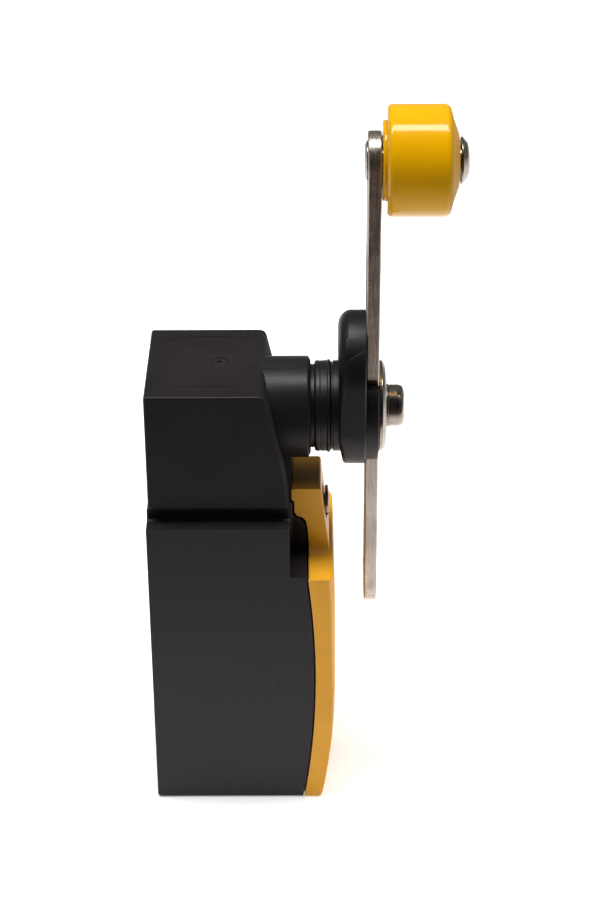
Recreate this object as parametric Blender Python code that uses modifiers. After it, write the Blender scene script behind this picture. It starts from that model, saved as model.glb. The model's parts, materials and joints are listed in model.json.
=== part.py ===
"""Narrow plastic-bodied limit switch with an adjustable roller lever.

Frame: +X points out of the mounting face towards the cover and the lever, +Z is up and
+Y completes the frame. The origin is on the mounting face, midway between the two fixing
holes. All sizes below are in millimetres; heights are measured from the bottom face and an
empty named "datum" brings them to the origin.
"""
import math

import bmesh
import bpy
from mathutils import Matrix, Vector

MM = 0.001
GAP = 0.3                      # clearance between neighbouring pieces

# Base housing and cover
BASE_HALF_WIDTH = 15.5
FIXING_HEIGHT = 53.5           # fixing-hole line above the bottom face
FIXING_HALF_SPACING = 10.0
FIXING_HOLE_RADIUS = 2.15
BASE_TOP = 61.05
LEDGE_HEIGHT = 58.85           # ledges along both top edges of the base, under the head
LEDGE_INSIDE = 11.8
WALL = 2.5
BASE_BACK_WALL = 2.8
POCKET_FLOOR = 48.9            # ledge under each fixing-screw pocket
POCKET_BACK = 25.0             # front plane of the base behind the pockets
NECK_HALF_WIDTH = 5.8
SHOULDER_HEIGHT = 48.4         # full-width part of the cover ends here
COVER_TOP = 61.3
CABLE_ENTRY_RADIUS = 9.3       # M20 x 1.5 core hole
CABLE_ENTRY_X = 14.5
BOTTOM_WALL = 9.0
CAVITY_TOP = 46.0
NECK_CAVITY_TOP = 51.5
NECK_CAVITY_HALF = 4.2
COVER_SCREW_HEIGHT = 55.5
COVER_SCREW_RADIUS = 1.4
COVER_RECESS_RADIUS = 3.4
COVER_RELIEF_HALF = 3.3        # the ridge round the screw is open to one side over this half height
COVER_RECESS_X = 31.0
SHOULDER_FILLET = 2.5          # between the neck's sides and the cover's shoulders
NECK_JOINT = [(28.05, 49.3), (27.85, 52.4), (27.6, 54.2), (27.0, 55.0), (26.0, 55.4), (25.5, 56.1),
              (25.5, 58.4), (25.0, 58.7)]

# Head and shaft
HEAD_BOTTOM = 61.35
HEAD_TOP = 83.65
HEAD_HALF_WIDTH = 12.7
HEAD_BACK = 0.3
SHAFT_HEIGHT = 75.0
SHAFT_RADIUS = 4.0
BOSS_RADIUS = 8.8
BOSS_END = 28.7
BORE_RADIUS = 5.6
HEAD_CAVITY_FRONT = 19.3
PLUNGER_X = 11.0
PLUNGER_RADIUS = 1.8
CAM_RADIUS = 6.0
SEAT_BOTTOM = 58.0             # floor of the round seat for the head's spigot
SPIGOT_RADIUS = 6.7
HEAD_SCREW_X = (PLUNGER_X - 4.6, PLUNGER_X + 4.6)
HEAD_SCREW_RADIUS = 1.25
PLATE_SCREWS = ((5.0, -7.2), (5.0, 7.2))
PLATE_SCREW_RADIUS = 0.9
HEAD_FRONT = [(24.9, HEAD_BOTTOM), (24.25, 66.8), (23.45, 71.0), (22.4, 76.2), (21.3, 81.1),
              (20.9, 82.6), (20.4, 83.3), (19.7, HEAD_TOP)]

# Lever
HUB_BACK = 29.0
HUB_FRONT = 32.35
CARRIER_BACK = 32.65
CARRIER_SEAT = 38.1
CARRIER_FRONT = 40.6
CARRIER_RADIUS = 9.6
CARRIER_LOW_CENTRE = 74.3      # centres of the carrier's two round ends
CARRIER_HIGH_CENTRE = 83.3
CARRIER_ROUNDING = 1.6
RIM_RADIUS = 9.1               # cheeks on both sides of the lever bar
BAR_BACK = 38.4
BAR_THICKNESS = 2.25
BAR_HALF_WIDTH = 4.95
BAR_BOTTOM = 34.8
BAR_TOP = 126.4
SLOT_HALF_WIDTH = 2.4
SLOT_LOW = 42.5                # centres of the slot's round ends
SLOT_HIGH = 104.0
ROLLER_HEIGHT = 121.4
ROLLER_RADIUS = 9.35
ROLLER_BACK = 41.0
ROLLER_FRONT = 53.5
AXLE_RADIUS = 2.5
CLAMP_SCREW_RADIUS = 1.9

# Contact block
BLOCK_HALF_WIDTH = 12.2
BLOCK_BACK = 3.2
BLOCK_FRONT = 20.0
BLOCK_LOW = 14.0
BLOCK_HIGH = 41.0
TERMINAL_Y = 7.7
UPPER_TERMINAL = 34.2
LOWER_TERMINAL = 20.4
UPPER_LEG = 36.4
LOWER_LEG = 17.6
TERMINAL_TOP = 23.0            # front plane of the terminal plates
TERMINAL_HOLE_RADIUS = 1.6
CONTACT_Y = 7.5
BLOCK_SCREW_Y = 10.7
BLOCK_SCREW_HEIGHT = 27.3
BLOCK_SCREW_RADIUS = 1.1
STEM_HALF_WIDTH = 2.2          # sliding stem that carries both bridges
NC_BRIDGE_TOP = 34.9
NO_BRIDGE_TOP = 22.6
BRIDGE_THICKNESS = 0.7

PIECES = "limit_switch"
CUTTERS = "cutters"

MATERIALS = {
    "black_housing": ((0.022, 0.021, 0.024), 0.45, 0.0),
    "black_head": ((0.016, 0.015, 0.016), 0.42, 0.0),
    "yellow_cover": ((0.60, 0.31, 0.035), 0.38, 0.0),
    "yellow_roller": ((0.87, 0.50, 0.012), 0.25, 0.0),
    "black_lever": ((0.02, 0.019, 0.02), 0.4, 0.0),
    "spring_steel_bar": ((0.52, 0.47, 0.40), 0.3, 1.0),
    "nickel_steel": ((0.62, 0.58, 0.52), 0.25, 1.0),
    "ground_steel": ((0.5, 0.5, 0.5), 0.3, 1.0),
    "rubber": ((0.02, 0.02, 0.02), 0.7, 0.0),
    "grey_moulding": ((0.45, 0.46, 0.44), 0.5, 0.0),
    "red_moulding": ((0.45, 0.06, 0.04), 0.45, 0.0),
    "bronze": ((0.55, 0.33, 0.15), 0.4, 1.0),
    "brass": ((0.68, 0.5, 0.2), 0.3, 1.0),
}


# Scene helpers

def clear_scene():
    for item in list(bpy.data.objects):
        bpy.data.objects.remove(item)


def new_collection(name):
    collection = bpy.data.collections.get(name) or bpy.data.collections.new(name)
    if name not in bpy.context.scene.collection.children:
        bpy.context.scene.collection.children.link(collection)
    return collection


def material(name):
    existing = bpy.data.materials.get(name)
    if existing:
        return existing
    colour, roughness, metallic = MATERIALS[name]
    made = bpy.data.materials.new(name)
    made.use_nodes = True
    shader = made.node_tree.nodes["Principled BSDF"]
    shader.inputs["Base Color"].default_value = (*colour, 1.0)
    shader.inputs["Roughness"].default_value = roughness
    shader.inputs["Metallic"].default_value = metallic
    return made


def place(mesh, name, centre, turn=None):
    """Link a mesh as an object at centre (mm above the bottom face)."""
    item = bpy.data.objects.new(name, mesh)
    bpy.data.collections[CUTTERS].objects.link(item)
    item.parent = bpy.data.objects["datum"]
    item.location = Vector(centre) * MM
    if turn is not None:
        item.rotation_euler = turn
    item.hide_render = True
    item.display_type = "WIRE"
    return item


def piece(item, material_name):
    """Turn a built shape into a named piece of the assembly."""
    bpy.data.collections[CUTTERS].objects.unlink(item)
    bpy.data.collections[PIECES].objects.link(item)
    item.hide_render = False
    item.display_type = "TEXTURED"
    item.data.materials.clear()
    item.data.materials.append(material(material_name))
    return item


def combine(target, other, operation):
    change = target.modifiers.new(operation.lower(), "BOOLEAN")
    change.operation = operation
    change.solver = "EXACT"
    change.object = other
    return target


def cut(target, *others):
    for other in others:
        combine(target, other, "DIFFERENCE")
    return target


def join(target, *others):
    for other in others:
        combine(target, other, "UNION")
    return target


def bevel(item, width, segments=2, angle=40.0):
    rounding = item.modifiers.new("rounding", "BEVEL")
    rounding.width = width * MM
    rounding.segments = segments
    rounding.limit_method = "ANGLE"
    rounding.angle_limit = math.radians(angle)
    return item


def smooth(mesh):
    mesh.shade_smooth()
    mesh.set_sharp_from_angle(angle=math.radians(35))


def as_mesh(item):
    """Replace a curve, or a mesh with modifiers, by its welded mesh at the same place."""
    bpy.context.view_layer.update()
    evaluated = item.evaluated_get(bpy.context.evaluated_depsgraph_get())
    mesh = bpy.data.meshes.new_from_object(evaluated)
    shape = bmesh.new()
    shape.from_mesh(mesh)
    bmesh.ops.remove_doubles(shape, verts=shape.verts, dist=0.000001)
    bmesh.ops.recalc_face_normals(shape, faces=shape.faces)
    shape.to_mesh(mesh)
    shape.free()
    smooth(mesh)
    name = item.name
    centre = item.location / MM
    turn = item.rotation_euler.copy()
    bpy.data.objects.remove(item)
    return place(mesh, name, centre, turn)


# Shape helpers: extents, radii and points in millimetres

def box(name, xs, ys, zs):
    sizes = [high - low for low, high in (xs, ys, zs)]
    centre = [(low + high) / 2 for low, high in (xs, ys, zs)]
    shape = bmesh.new()
    bmesh.ops.create_cube(shape, size=MM, matrix=Matrix.Diagonal((*sizes, 1.0)))
    mesh = bpy.data.meshes.new(name)
    shape.to_mesh(mesh)
    shape.free()
    return place(mesh, name, centre)


AXIS_TURN = {
    "X": (0.0, math.pi / 2, 0.0),
    "Y": (-math.pi / 2, 0.0, 0.0),
    "Z": (0.0, 0.0, 0.0),
}


def rod(name, axis, radius, start, end, centre, sides=24):
    """Cylinder from start to end along a world axis; centre gives the axis line."""
    shape = bmesh.new()
    bmesh.ops.create_cone(shape, cap_ends=True, segments=sides, radius1=radius * MM,
                          radius2=radius * MM, depth=(end - start) * MM)
    mesh = bpy.data.meshes.new(name)
    shape.to_mesh(mesh)
    shape.free()
    smooth(mesh)
    middle = list(centre)
    middle["XYZ".index(axis)] = (start + end) / 2
    return place(mesh, name, middle, AXIS_TURN[axis])


def turned(name, axis, profile, centre, sides=40, closed=False):
    """Turned shape: profile holds (radius, distance along the axis), front end first."""
    shape = bmesh.new()
    points = [shape.verts.new((radius * MM, 0.0, along * MM)) for radius, along in profile]
    for first, second in zip(points, points[1:]):
        shape.edges.new((first, second))
    if closed:
        shape.edges.new((points[-1], points[0]))
    mesh = bpy.data.meshes.new(name)
    shape.to_mesh(mesh)
    shape.free()
    item = place(mesh, name, centre, AXIS_TURN[axis])
    screw = item.modifiers.new("turning", "SCREW")
    screw.axis = "Z"
    screw.steps = sides
    screw.render_steps = sides
    screw.use_merge_vertices = True
    screw.merge_threshold = 0.00001
    return as_mesh(item)


def prism(name, plane, points, low, high):
    """Flat outline in the XZ or YZ plane, extruded from low to high across it."""
    curve = bpy.data.curves.new(name, "CURVE")
    curve.dimensions = "2D"
    curve.fill_mode = "BOTH"
    curve.extrude = (high - low) / 2 * MM
    spline = curve.splines.new("POLY")
    spline.points.add(len(points) - 1)
    for point, (across, up) in zip(spline.points, points):
        point.co = (across * MM, up * MM, 0.0, 1.0)
    spline.use_cyclic_u = True
    middle = (low + high) / 2
    if plane == "XZ":
        centre, turn = (0.0, middle, 0.0), (math.pi / 2, 0.0, 0.0)
    else:
        centre, turn = (middle, 0.0, 0.0), (math.pi / 2, 0.0, math.pi / 2)
    flat = place(curve, name, centre, turn)
    return as_mesh(flat)


def arc(centre, radius, start, end, count):
    """Points on an arc, from the start to the end angle in degrees."""
    steps = [math.radians(start + (end - start) * index / (count - 1)) for index in range(count)]
    return [(centre[0] + radius * math.cos(step), centre[1] + radius * math.sin(step))
            for step in steps]


def coil(name, radius, wire, turns, low, high, axis="Z", centre=(0.0, 0.0, 0.0), points_a_turn=8):
    """Round-wire helix with closed end faces."""
    curve = bpy.data.curves.new(name, "CURVE")
    curve.dimensions = "3D"
    curve.bevel_depth = wire / 2 * MM
    curve.bevel_resolution = 2
    curve.use_fill_caps = True
    spline = curve.splines.new("POLY")
    count = int(turns * points_a_turn) + 1
    spline.points.add(count - 1)
    for index, point in enumerate(spline.points):
        angle = 2 * math.pi * index / points_a_turn
        along = low + (high - low) * index / (count - 1)
        point.co = (radius * math.cos(angle) * MM, radius * math.sin(angle) * MM, along * MM, 1.0)
    return as_mesh(place(curve, name, centre, AXIS_TURN[axis]))


# Shared outlines

def parting_x(height):
    """Base and cover meet on this shallow arc in the side view."""
    return 29.27 - 2.1 * ((27.0 - height) / 27.0) ** 2


def parting_line(low, high, count):
    step = (high - low) / (count - 1)
    return [(parting_x(low + step * index), low + step * index) for index in range(count)]


def shift(points, across):
    return [(point[0] + across, point[1]) for point in points]


# Pieces of the base

def build_housing():
    back = [(0.0, BASE_TOP), (0.0, 0.0)]
    front = parting_line(0.0, 48.6, 9) + NECK_JOINT + [(POCKET_BACK, BASE_TOP)]
    body = prism("housing", "XZ", back + front, -BASE_HALF_WIDTH, BASE_HALF_WIDTH)
    bevel(body, 0.5, 1)
    for side in (-1, 1):
        ledge = [(LEDGE_INSIDE, 62.0), (LEDGE_INSIDE, LEDGE_HEIGHT + 0.4), (LEDGE_INSIDE + 0.4, LEDGE_HEIGHT),
                 (BASE_HALF_WIDTH + 1.0, LEDGE_HEIGHT), (BASE_HALF_WIDTH + 1.0, 62.0)]
        cut(body, prism("base_ledge", "YZ", [(side * across, height) for across, height in ledge],
                        -1.0, 30.0))
        inner, outer = sorted((side * NECK_HALF_WIDTH, side * (BASE_HALF_WIDTH + 1)))
        cut(body, box("fixing_pocket", (POCKET_BACK, 32.0), (inner, outer), (POCKET_FLOOR, 62.0)))
        cut(body, rod("fixing_hole", "X", FIXING_HOLE_RADIUS, -1.0, 27.0,
                      (0.0, side * FIXING_HALF_SPACING, FIXING_HEIGHT)))
    cut(body, box("base_cavity", (BASE_BACK_WALL, 32.0),
                  (-BASE_HALF_WIDTH + WALL, BASE_HALF_WIDTH - WALL), (BOTTOM_WALL, CAVITY_TOP)))
    cut(body, box("neck_cavity", (3.8, 32.0), (-NECK_CAVITY_HALF, NECK_CAVITY_HALF),
                  (CAVITY_TOP - 1.0, NECK_CAVITY_TOP)))
    cut(body, rod("cable_entry", "Z", CABLE_ENTRY_RADIUS, -1.0, BOTTOM_WALL + 1.0,
                  (CABLE_ENTRY_X, 0.0, 0.0), sides=40))
    cut(body, rod("spigot_seat", "Z", SPIGOT_RADIUS + GAP, SEAT_BOTTOM, 63.0,
                  (PLUNGER_X, 0.0, 0.0), sides=28))
    cut(body, rod("seal_seat", "Z", 3.6, 56.4, 63.0, (PLUNGER_X, 0.0, 0.0)))
    cut(body, rod("plunger_bore", "Z", PLUNGER_RADIUS + GAP, 50.0, 60.0, (PLUNGER_X, 0.0, 0.0)))
    cut(body, rod("cover_screw_bore", "X", COVER_SCREW_RADIUS + GAP, 19.5, 32.0,
                  (0.0, 0.0, COVER_SCREW_HEIGHT)))
    for x in HEAD_SCREW_X:
        cut(body, rod("head_screw_bore", "Z", HEAD_SCREW_RADIUS + GAP, 50.0, 60.0, (x, 0.0, 0.0), sides=16))
    for side in (-1, 1):
        cut(body, rod("block_screw_bore", "X", BLOCK_SCREW_RADIUS + GAP, 1.0, 5.0,
                      (0.0, side * BLOCK_SCREW_Y, BLOCK_SCREW_HEIGHT), sides=16))
    return piece(body, "black_housing")


def build_cover():
    back = shift(parting_line(0.0, SHOULDER_HEIGHT, 9), GAP)
    crown = [(32.75, SHOULDER_HEIGHT), (33.1, 42.0), (33.1, 24.0), (32.9, 17.5), (32.6, 12.9), (32.05, 7.8),
             (31.5, 3.6), (30.9, 0.0)]
    lower = prism("cover", "XZ", back + crown, -BASE_HALF_WIDTH, BASE_HALF_WIDTH)
    bevel(lower, 0.6, 2, 60.0)
    joint = ([(29.3, 40.0), (29.3, 47.3), (28.55, 48.1)] + [(x + GAP, z + GAP) for x, z in NECK_JOINT]
             + [(POCKET_BACK + GAP, COVER_TOP)])
    front = [(30.6, COVER_TOP), (31.3, 54.8), (32.0, 49.5), (32.3, 46.3), (32.7, 40.0)]
    neck = bevel(prism("cover_neck", "XZ", joint + front, -NECK_HALF_WIDTH, NECK_HALF_WIDTH), 0.2)
    ridge = bevel(prism("screw_ridge", "XZ", [(30.0, 58.8), (32.3, 58.6), (32.8, 57.8), (33.0, 50.0),
                                              (33.0, 42.0), (30.0, 42.0)], -4.5, 4.5), 0.6, 2, 60.0)
    cut(ridge, box("ridge_relief", (29.0, 36.0), (-8.0, 0.0),
                   (COVER_SCREW_HEIGHT - COVER_RELIEF_HALF, COVER_SCREW_HEIGHT + 5.0)))
    join(lower, neck, ridge, shoulder_fillet("shoulder_fillet_left", -1),
         shoulder_fillet("shoulder_fillet_right", 1))
    hollow = prism("cover_hollow", "XZ", shift(parting_line(2.2, 46.2, 7), -2.0)
                   + [(31.0, 46.2), (31.2, 40.0), (31.2, 20.0), (30.6, 10.0), (29.9, 2.2)], -13.2, 13.2)
    cut(lower, hollow)
    cut(lower, rim_band("gasket_groove", 0.0, 1.2, 0.3))
    cut(lower, rod("cover_screw_recess", "X", COVER_RECESS_RADIUS, COVER_RECESS_X, 36.0,
                   (0.0, 0.0, COVER_SCREW_HEIGHT)))
    cut(lower, rod("cover_screw_hole", "X", COVER_SCREW_RADIUS + GAP, 20.0, 36.0,
                   (0.0, 0.0, COVER_SCREW_HEIGHT)))
    return piece(lower, "yellow_cover")


def shoulder_fillet(name, side):
    """Hollow rounding where a side of the neck meets the shoulder."""
    inside = NECK_HALF_WIDTH - 0.8
    reach = SHOULDER_FILLET - 0.06
    centre = (NECK_HALF_WIDTH + reach, SHOULDER_HEIGHT + reach)
    outline = ([(inside, SHOULDER_HEIGHT - 0.6), (centre[0], SHOULDER_HEIGHT - 0.6)]
               + arc(centre, SHOULDER_FILLET, 270, 180, 6) + [(inside, centre[1])])
    outline = [(side * across, height) for across, height in outline]
    return prism(name, "YZ", outline, 28.9, 32.3)


def rim_band(name, near, far, grow):
    """Frame that follows the parting line, near and far being its distances in front of it."""
    low, high = 1.6 - grow, 47.0 + grow
    outline = (shift(parting_line(low, high, 9), near)
               + shift(list(reversed(parting_line(low, high, 9))), far))
    band = prism(name, "XZ", outline, -14.4 - grow, 14.4 + grow)
    return cut(band, box(name + "_window", (24.0, 33.0), (-13.4 + grow, 13.4 - grow),
                         (3.0 + grow, 45.6 - grow)))


def build_cover_gasket():
    return piece(rim_band("cover_gasket", 0.14, 0.9, 0.0), "rubber")


def screw_piece(name, axis, centre, head_radius, head_start, head_end, shank_radius, shank_end,
                slot_turn=0.0, material_name="nickel_steel"):
    """Slotted pan screw. Its head lies at head_end along the axis and its shank runs back."""
    outward = 1.0 if head_end > head_start else -1.0
    rim = 0.25 * abs(head_end - head_start)
    profile = [(0.0, head_end), (head_radius - rim, head_end), (head_radius, head_end - outward * rim),
               (head_radius, head_start), (shank_radius, head_start), (shank_radius, shank_end),
               (0.0, shank_end)]
    if outward < 0:
        profile.reverse()
    screw = turned(name, axis, profile, centre, sides=16)
    depth = 0.45 * abs(head_end - head_start)
    low, high = sorted((head_end - outward * depth, head_end + outward * 2.0))
    width, length = 0.11 * head_radius, 1.4 * head_radius
    if axis == "X":
        slot = box(name + "_slot", (low, high), (-length, length), (-width, width))
        slot.location.y += centre[1] * MM
        slot.location.z += centre[2] * MM
        slot.rotation_euler = (slot_turn, 0.0, 0.0)
    else:
        slot = box(name + "_slot", (-length, length), (-width, width), (low, high))
        slot.location.x += centre[0] * MM
        slot.location.y += centre[1] * MM
    cut(screw, slot)
    return piece(screw, material_name)


# Contact block

def build_contact_block():
    body = box("contact_block", (BLOCK_BACK, BLOCK_FRONT), (-BLOCK_HALF_WIDTH, BLOCK_HALF_WIDTH),
               (BLOCK_LOW, BLOCK_HIGH))
    bevel(body, 0.5, 1)
    cut(body, box("block_cavity", (6.0, 22.0), (-9.4, 9.4), (15.2, 38.8)))
    cut(body, box("carrier_slot", (PLUNGER_X - STEM_HALF_WIDTH - GAP, PLUNGER_X + STEM_HALF_WIDTH + GAP),
                  (-STEM_HALF_WIDTH - GAP, STEM_HALF_WIDTH + GAP), (37.0, 43.0)))
    for side in (-1, 1):
        cut(body, rod("block_screw_hole", "X", BLOCK_SCREW_RADIUS + GAP, 0.0, 22.0,
                      (0.0, side * BLOCK_SCREW_Y, BLOCK_SCREW_HEIGHT), sides=16))
    return piece(body, "grey_moulding")


def build_contact_block_lid():
    lid = box("contact_block_lid", (BLOCK_FRONT + GAP, 21.6), (-BLOCK_HALF_WIDTH, BLOCK_HALF_WIDTH),
              (BLOCK_LOW, BLOCK_HIGH))
    for side in (-1, 1):
        for leg, seat in ((UPPER_LEG, UPPER_TERMINAL), (LOWER_LEG, LOWER_TERMINAL)):
            low, high = sorted((side * 5.9, side * 9.1))
            cut(lid, box("leg_slot", (19.0, 23.0), (low, high), (leg - 0.7, leg + 0.7)))
            cut(lid, rod("terminal_screw_hole", "X", TERMINAL_HOLE_RADIUS, 19.0, 23.0,
                         (0.0, side * TERMINAL_Y, seat - 0.4), sides=16))
        cut(lid, rod("lid_screw_hole", "X", BLOCK_SCREW_RADIUS + GAP, 19.0, 23.0,
                     (0.0, side * BLOCK_SCREW_Y, BLOCK_SCREW_HEIGHT), sides=16))
    return piece(lid, "red_moulding")


def build_terminal(name, side, seat, leg, contact_side):
    """Plate under the terminal screw, with a leg that carries the fixed contact."""
    low, high = sorted((side * 4.4, side * 11.4))
    plate = box(name, (22.0, TERMINAL_TOP), (low, high), (min(seat - 3.4, leg - 0.4),
                                                         max(seat + 2.6, leg + 0.4)))
    leg_low, leg_high = sorted((side * 6.2, side * 8.8))
    arm = box("terminal_leg", (9.4, 22.5), (leg_low, leg_high), (leg - 0.4, leg + 0.4))
    tip_low, tip_high = sorted((leg, leg + contact_side * 0.9))
    tip = rod("fixed_contact", "Z", 1.1, tip_low, tip_high, (PLUNGER_X, side * CONTACT_Y, 0.0), sides=16)
    join(plate, arm, tip)
    cut(plate, rod("terminal_hole", "X", TERMINAL_HOLE_RADIUS, 21.0, 24.0,
                   (0.0, side * TERMINAL_Y, seat - 0.4), sides=16))
    return piece(plate, "brass")


def build_terminals():
    for column, side in (("left", -1), ("right", 1)):
        build_terminal("nc_terminal_" + column, side, UPPER_TERMINAL, UPPER_LEG, -1)
        build_terminal("no_terminal_" + column, side, LOWER_TERMINAL, LOWER_LEG, 1)
        for prefix, seat in (("nc", UPPER_TERMINAL), ("no", LOWER_TERMINAL)):
            screw_piece(prefix + "_terminal_screw_" + column, "X",
                        (0.0, side * TERMINAL_Y, seat - 0.4), 2.9, TERMINAL_TOP + GAP, 25.3, 1.3, 20.6)
        screw_piece("block_screw_" + column, "X", (0.0, side * BLOCK_SCREW_Y, BLOCK_SCREW_HEIGHT),
                    1.35, 21.9, 23.4, BLOCK_SCREW_RADIUS, 1.4)


def build_contact_carrier():
    """Sliding stem that carries both bridges; its rod leaves through the base's top wall."""
    stem = box("contact_carrier", (PLUNGER_X - STEM_HALF_WIDTH, PLUNGER_X + STEM_HALF_WIDTH),
               (-STEM_HALF_WIDTH, STEM_HALF_WIDTH), (19.6, 42.8))
    join(stem, rod("carrier_rod", "Z", PLUNGER_RADIUS, 42.0, 58.0 - 0.1, (PLUNGER_X, 0.0, 0.0), sides=24))
    for top, low, high in ((NC_BRIDGE_TOP, 29.6, 35.3), (NO_BRIDGE_TOP, 21.3, 27.4)):
        cut(stem, box("bridge_window", (PLUNGER_X - 1.55, PLUNGER_X + 1.55), (-4.0, 4.0), (low, high)))
    cut(stem, rod("spring_pocket", "Z", 1.5, 18.0, 20.6, (PLUNGER_X, 0.0, 0.0), sides=16))
    return piece(stem, "red_moulding")


def build_bridge(name, top, contact_side):
    bridge = box(name, (PLUNGER_X - 1.25, PLUNGER_X + 1.25), (-8.7, 8.7), (top - BRIDGE_THICKNESS, top))
    for side in (-1, 1):
        face = top if contact_side > 0 else top - BRIDGE_THICKNESS
        low, high = sorted((face - contact_side * 0.3, face + contact_side * 0.25))
        join(bridge, rod("bridge_contact", "Z", 0.95, low, high, (PLUNGER_X, side * CONTACT_Y, 0.0),
                         sides=16))
    return piece(bridge, "brass")


def build_carrier_parts():
    build_contact_carrier()
    build_bridge("nc_bridge", NC_BRIDGE_TOP, 1)
    build_bridge("no_bridge", NO_BRIDGE_TOP, -1)
    springs = (("nc_contact_spring", 30.1, NC_BRIDGE_TOP - BRIDGE_THICKNESS - 0.5),
               ("no_contact_spring", NO_BRIDGE_TOP + 0.5, 26.9))
    for name, low, high in springs:
        piece(coil(name, 0.95, 0.3, 3, low, high, centre=(PLUNGER_X, 0.0, 0.0)), "ground_steel")
    piece(coil("carrier_return_spring", 1.0, 0.35, 3, 15.8, 20.2, centre=(PLUNGER_X, 0.0, 0.0)),
          "ground_steel")


# Head

def build_head_housing():
    outline = [(HEAD_BACK, HEAD_TOP), (HEAD_BACK, HEAD_BOTTOM)] + HEAD_FRONT
    block = bevel(prism("head_housing", "XZ", outline, -HEAD_HALF_WIDTH, HEAD_HALF_WIDTH), 0.6)
    boss = turned("shaft_boss", "X", [(0.0, BOSS_END), (BOSS_RADIUS - 0.6, BOSS_END),
                                      (BOSS_RADIUS, BOSS_END - 0.6), (BOSS_RADIUS, 15.0), (0.0, 15.0)],
                  (0.0, 0.0, SHAFT_HEIGHT), sides=44)
    cut(boss, box("boss_trim", (10.0, 19.6), (-12.0, 12.0), (HEAD_TOP - 0.2, 90.0)))
    join(block, boss)
    cut(block, box("head_cavity", (6.8, HEAD_CAVITY_FRONT), (-9.6, 9.6), (61.0, 81.5)))
    cut(block, box("head_cavity_rear", (2.5, 7.5), (-4.6, 4.6), (61.0, 81.5)))
    cut(block, box("head_plate_seat", (2.5, HEAD_CAVITY_FRONT), (-9.6, 9.6), (61.0, 64.6)))
    cut(block, rod("shaft_bore", "X", BORE_RADIUS, 18.0, 30.0, (0.0, 0.0, SHAFT_HEIGHT), sides=28))
    for x, y in PLATE_SCREWS:
        cut(block, rod("plate_screw_bore", "Z", PLATE_SCREW_RADIUS + GAP, 63.0, 69.0, (x, y, 0.0),
                       sides=16))
    return piece(block, "black_head")


def build_head_plate():
    plate = box("head_plate", (2.8, 19.0), (-9.3, 9.3), (61.9, 64.3))
    join(plate, rod("spigot", "Z", SPIGOT_RADIUS, 59.3, 62.5, (PLUNGER_X, 0.0, 0.0), sides=28))
    cut(plate, rod("plate_plunger_bore", "Z", PLUNGER_RADIUS + GAP, 58.0, 66.0, (PLUNGER_X, 0.0, 0.0)))
    for x in HEAD_SCREW_X:
        cut(plate, rod("plate_thread", "Z", HEAD_SCREW_RADIUS + GAP, 58.0, 63.4, (x, 0.0, 0.0), sides=16))
    for x, y in PLATE_SCREWS:
        cut(plate, rod("plate_screw_hole", "Z", PLATE_SCREW_RADIUS + GAP, 61.0, 66.0, (x, y, 0.0),
                       sides=16))
        cut(plate, rod("plate_screw_sink", "Z", 2.0, 61.0, 63.3, (x, y, 0.0), sides=16))
    return piece(plate, "grey_moulding")


def ring(name, axis, outer, inner, start, end, centre, material_name, sides=28):
    profile = [(inner, end), (outer, end), (outer, start), (inner, start)]
    return piece(turned(name, axis, profile, centre, sides, closed=True), material_name)


def round_ring(name, axis, radius, section, at, centre, material_name, sides=24):
    """Ring of round section, like an O-ring."""
    profile = [(radius + dx, at + dz) for dx, dz in arc((0.0, 0.0), section, 90, -270, 9)[:-1]]
    return piece(turned(name, axis, profile, centre, sides, closed=True), material_name)


def build_head_parts():
    build_head_housing()
    build_head_plate()
    for name, (x, y) in zip(("head_plate_screw_left", "head_plate_screw_right"), PLATE_SCREWS):
        screw_piece(name, "Z", (x, y, 0.0), 1.65, 63.0, 62.0, PLATE_SCREW_RADIUS, 68.4)
    for name, x in zip(("head_screw_rear", "head_screw_front"), HEAD_SCREW_X):
        screw_piece(name, "Z", (x, 0.0, 0.0), 2.1, 51.2, 49.6, HEAD_SCREW_RADIUS, 63.0)
    gasket = rod("head_gasket", "Z", 6.5, SEAT_BOTTOM + GAP, 59.0, (PLUNGER_X, 0.0, 0.0), sides=28)
    cut(gasket, rod("gasket_bore", "Z", 3.0, 58.0, 60.0, (PLUNGER_X, 0.0, 0.0)))
    for x in HEAD_SCREW_X:
        cut(gasket, rod("gasket_hole", "Z", HEAD_SCREW_RADIUS + GAP, 58.0, 60.0, (x, 0.0, 0.0), sides=16))
    piece(gasket, "rubber")
    round_ring("plunger_seal", "Z", 2.75, 0.55, 57.2, (PLUNGER_X, 0.0, 0.0), "rubber")
    axle = (0.0, 0.0, SHAFT_HEIGHT)
    ring("shaft_bush", "X", BORE_RADIUS - GAP, SHAFT_RADIUS + 0.25, 19.9, 26.2, axle, "bronze", 24)
    round_ring("shaft_seal", "X", 4.9, 0.42, 27.3, axle, "rubber")
    piece(coil("return_spring", 5.3, 0.7, 3, 14.8, 18.6, "X", axle, points_a_turn=12), "ground_steel")
    plunger = turned("head_plunger", "Z", [(0.0, 68.3), (3.2, 68.3), (3.6, 67.9), (3.6, 67.1),
                                           (PLUNGER_RADIUS, 67.1), (PLUNGER_RADIUS, 58.3), (0.0, 58.3)],
                     (PLUNGER_X, 0.0, 0.0), sides=28)
    piece(plunger, "ground_steel")


# Lever

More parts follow.
